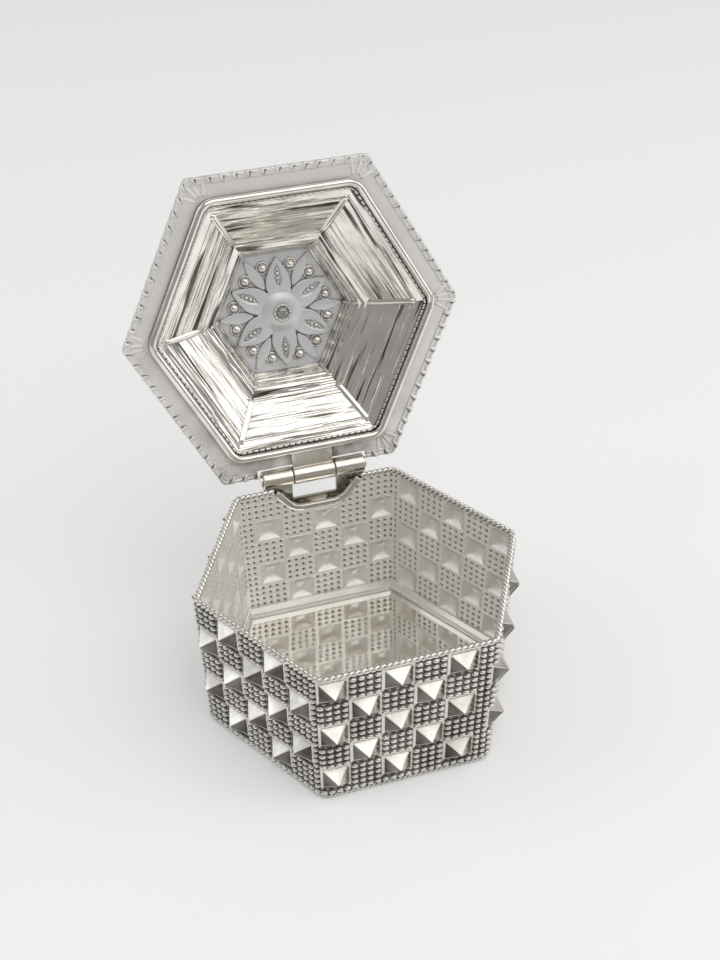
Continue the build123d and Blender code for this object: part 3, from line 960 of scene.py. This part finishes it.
def silver(name, colour, rough, rough_spread=0.08, tarnish=0.25, tarnish_and_shade_colour=(0.05, 0.045, 0.04),
           bump=0.1, grain=900.0, pits=0.0, streak=0.0, wave=0.0, painted_under_shade=0.0, metal=1.0, cloudy=0.22,
           stain_at=None):
    """Silver sheet: polish that varies, a fine grain, small dents, tarnish in the low places and painted
    shade.
    """
    mat, tree, shader = new_material(name)
    shader.inputs["Metallic"].default_value = metal
    coords = node(tree, "ShaderNodeTexCoord")
    place = coords.outputs["Object"]
    cloud = noise(tree, place, Scale=260.0, Detail=6.0)
    patches = span(tree, cloud, 0.35, 0.75, 0.0, cloudy)
    amount = maths(tree, "ADD", low_places(tree, tarnish), patches)
    if pits:
        # pit: patina in the hollows plus painted shade on marked stud faces and in the lip's slits
        amount = maths(tree, "MULTIPLY_ADD", stored(tree, "pit", "Fac"), pits, amount)
    # Painted shade on faces that point down
    if painted_under_shade:
        amount = maths(tree, "ADD", amount, painted_underside_shade(tree, coords.outputs["Normal"], painted_under_shade))
    normal = bumped(tree, noise(tree, place, Scale=grain * 3, Detail=5.0), bump, 0.00004)
    if streak:
        along = stored(tree, "streak", "Vector")
        lines = noise(tree, along, Scale=0.95, Detail=2.2, Roughness=0.5, Distortion=0.25)
        amount = maths(tree, "ADD", amount, span(tree, lines, 0.57, 0.64, 0.0, streak))
        normal = bumped(tree, lines, 0.6, 0.0007, normal)
    if stain_at is not None:
        amount = maths(tree, "ADD", amount, stain_near(tree, place, stain_at, patches))
    if wave:
        swell = noise(tree, place, Scale=170.0, Detail=2.5, Distortion=0.6)
        normal = bumped(tree, swell, wave, 0.0006, normal)
    # Tarnish and painted shade both darken towards the same colour
    tree.links.new(blend(tree, amount, colour, tarnish_and_shade_colour), shader.inputs["Base Color"])
    polish = span(tree, cloud, 0.3, 0.7, max(0.02, rough - rough_spread), rough + rough_spread)
    tree.links.new(maths(tree, "MULTIPLY_ADD", amount, 0.35, polish), shader.inputs["Roughness"])
    tree.links.new(normal, shader.inputs["Normal"])
    return mat


def stone_material():
    """Clear stone with a faint cloudy tint."""
    mat, tree, shader = new_material("stone_glass")
    shader.inputs["Transmission Weight"].default_value = 0.75
    shader.inputs["IOR"].default_value = 2.2
    cloud = node(tree, "ShaderNodeTexNoise", Scale=900.0).outputs["Fac"]
    tree.links.new(span(tree, cloud, 0.0, 1.0, 0.02, 0.12), shader.inputs["Roughness"])
    tint = blend(tree, cloud, (0.95, 0.96, 0.97), (0.75, 0.78, 0.80))
    tree.links.new(tint, shader.inputs["Base Color"])
    return mat


hinge_place = nodes["lid_flange"].matrix_world.inverted() @ (Vector((HINGE_X, 21.0, FLANGE_Z)) * MM)
# Painted shade: on what faces down for the wall's outside and the ropes, and through the pit values on stud
# faces and the lip's slits
outside = silver("wall_outside_silver", (0.90, 0.875, 0.81), 0.2, 0.06, tarnish=0.7, bump=0.12,
                 pits=0.9, painted_under_shade=0.8)
inside = silver("wall_inside_silver", (0.985, 0.965, 0.915), 0.3, 0.08, tarnish=0.2,
                tarnish_and_shade_colour=(0.16, 0.10, 0.06), bump=0.15, pits=0.8, metal=0.25, cloudy=0.06)
band = silver("band_silver", (0.97, 0.96, 0.93), 0.2, 0.06, tarnish=0.05, bump=0.08, metal=0.4, cloudy=0.05)
wire = silver("rope_silver", (0.93, 0.91, 0.86), 0.2, 0.06, tarnish=0.8, bump=0.12, painted_under_shade=0.6)
mirror = silver("dome_silver", (0.94, 0.915, 0.86), 0.09, 0.04, tarnish=0.8,
                tarnish_and_shade_colour=(0.08, 0.065, 0.05), bump=0.03, streak=0.85, wave=0.1)
ledge_silver = silver("ledge_silver", (0.95, 0.95, 0.95), 0.34, 0.08, tarnish=0.6,
                      tarnish_and_shade_colour=(0.08, 0.08, 0.09), bump=0.3, metal=0.3, cloudy=0.4)
plain_mirror = silver("collar_silver", (0.93, 0.905, 0.85), 0.12, 0.04, tarnish=0.75, bump=0.05, wave=0.08)
floor_silver = silver("floor_silver", (0.94, 0.92, 0.88), 0.06, 0.03, tarnish=0.1, bump=0.02,
                      wave=0.04, cloudy=0.08)
matte = silver("flange_silver", (0.98, 0.965, 0.94), 0.3, 0.06, tarnish=0.55,
               tarnish_and_shade_colour=(0.13, 0.095, 0.065), bump=0.25, grain=700.0, pits=1.0, metal=0.3,
               cloudy=0.14, stain_at=hinge_place)
rosette_matte = silver("rosette_silver", (0.82, 0.82, 0.83), 0.36, 0.06, tarnish=0.9, bump=0.2,
                       metal=0.6, cloudy=0.1)
hinge = silver("hinge_silver", (0.90, 0.86, 0.78), 0.18, 0.08, tarnish=0.75,
               tarnish_and_shade_colour=(0.14, 0.09, 0.05), bump=0.2, wave=0.12)
stone_glass = stone_material()


def rounded_end(target, width):
    """Rounds the outer edges of a kept solid."""
    join = target.modifiers.new("join", "WELD")
    join.merge_threshold = 2e-6
    soft = target.modifiers.new("soft", "BEVEL")
    soft.width = width * MM
    soft.segments = 3
    soft.limit_method = "ANGLE"
    soft.angle_limit = math.radians(50)
    target.data.polygons.foreach_set("use_smooth", [True] * len(target.data.polygons))
    weighted(target)


def paint(target, mat):
    """Gives a piece one material."""
    target.data.materials.clear()
    target.data.materials.append(mat)


KNUCKLES = ("hinge_knuckle_left", "hinge_knuckle_right", "hinge_knuckle_lid")
for name in KNUCKLES:
    rounded_end(nodes[name], 0.16)
solids = [(name, hinge) for name in KNUCKLES + ("hinge_body_leaf", "hinge_pin", "hinge_lid_leaf")]
solids += [("lid_flange", matte), ("lid_plaque", rosette_matte)]
solids += [("floor_plate", floor_silver), ("floor_band", band)]
for name, mat in solids:
    paint(nodes[name], mat)
pieces = (
    (outside, (wall_out,)), (inside, (wall_in,)), (band, (fillet,)), (mirror, (dome,)),
    (stone_glass, (stone,)),
    (wire, (rim, foot, seam, granule_piece, bead_piece, bezel_piece)),
    (plain_mirror, (collar_piece, rib_piece, border)),
    (matte, (edge, fold_piece)),
    (rosette_matte, (flower, sepal_piece)),
)
for mat, members in pieces:
    for member in members:
        paint(member, mat)
dome.data.materials.append(ledge_silver)


# Stage, light and camera
def stage_floor():
    """A wide pale floor, a little lighter to the camera and in reflections than its paper alone."""
    wide, low = 3.0, -0.00002
    mesh = bpy.data.meshes.new("stage_floor")
    corners = [(-wide, -wide, low), (wide, -wide, low), (wide, wide, low), (-wide, wide, low)]
    mesh.from_pydata(corners, [], [(0, 1, 2, 3)])
    plane = bpy.data.objects.new("stage_floor", mesh)
    bpy.context.scene.collection.objects.link(plane)
    mat, tree, shader = new_material("stage_paper")
    shader.inputs["Base Color"].default_value = (0.86, 0.86, 0.865, 1)
    shader.inputs["Roughness"].default_value = 0.9
    shader.inputs["Emission Color"].default_value = (1.0, 1.0, 1.0, 1)
    path = tree.nodes.new("ShaderNodeLightPath").outputs
    seen = maths(tree, "ADD", path["Is Camera Ray"], path["Is Glossy Ray"])
    seen = maths(tree, "ADD", seen, path["Is Transmission Ray"])
    tree.links.new(maths(tree, "MULTIPLY", seen, 0.3, clamp=False), shader.inputs["Emission Strength"])
    mesh.materials.append(mat)


def area_light(name, at, target, size, power, colour=(1, 1, 1)):
    """A soft rectangular lamp that points at its target."""
    data = bpy.data.lights.new(name, "AREA")
    data.shape = "RECTANGLE"
    data.size, data.size_y = size
    data.energy = power
    data.color = colour
    lamp = bpy.data.objects.new(name, data)
    bpy.context.scene.collection.objects.link(lamp)
    lamp.location = at
    lamp.rotation_euler = (Vector(target) - Vector(at)).to_track_quat("-Z", "Y").to_euler()


stage_floor()
area_light("top_softbox", (0.18, -0.34, 0.68), (0, 0, 0.02), (0.8, 0.75), 2.2, (1.0, 0.985, 0.96))
area_light("right_softbox", (0.62, -0.2, 0.3), (0, 0, 0.03), (0.45, 0.45), 0.8)
area_light("left_softbox", (-0.52, 0.18, 0.43), (0, 0, 0.03), (0.4, 0.4), 0.56, (0.95, 0.97, 1.0))
world = bpy.data.worlds.new("studio")
bpy.context.scene.world = world
world.use_nodes = True
world.node_tree.nodes["Background"].inputs["Color"].default_value = (0.78, 0.77, 0.76, 1)
world.node_tree.nodes["Background"].inputs["Strength"].default_value = 0.4

# Camera fitted to the photograph: focal length in pixels, and the directions of its three axes
PHOTO_HEIGHT, FOCAL_LENGTH, SENSOR = 960, 1572.4, 36.0
camera_data = bpy.data.cameras.new("camera")
camera_data.sensor_width = SENSOR
camera_data.lens = FOCAL_LENGTH * SENSOR / PHOTO_HEIGHT
camera = bpy.data.objects.new("camera", camera_data)
bpy.context.scene.collection.objects.link(camera)
right = Vector((0.95061193, -0.31016216, -0.0116787))
down = Vector((-0.18762514, -0.54426184, -0.81766488))
forward = Vector((0.24725244, 0.77947321, -0.57557601))
turn = Matrix((right, -down, -forward)).transposed().to_4x4()
camera.matrix_world = Matrix.Translation(Vector((-0.054209, -0.172265, 0.165698))) @ turn
camera_data.clip_start = 0.01
bpy.context.scene.camera = camera
bpy.context.scene.view_settings.view_transform = "Standard"
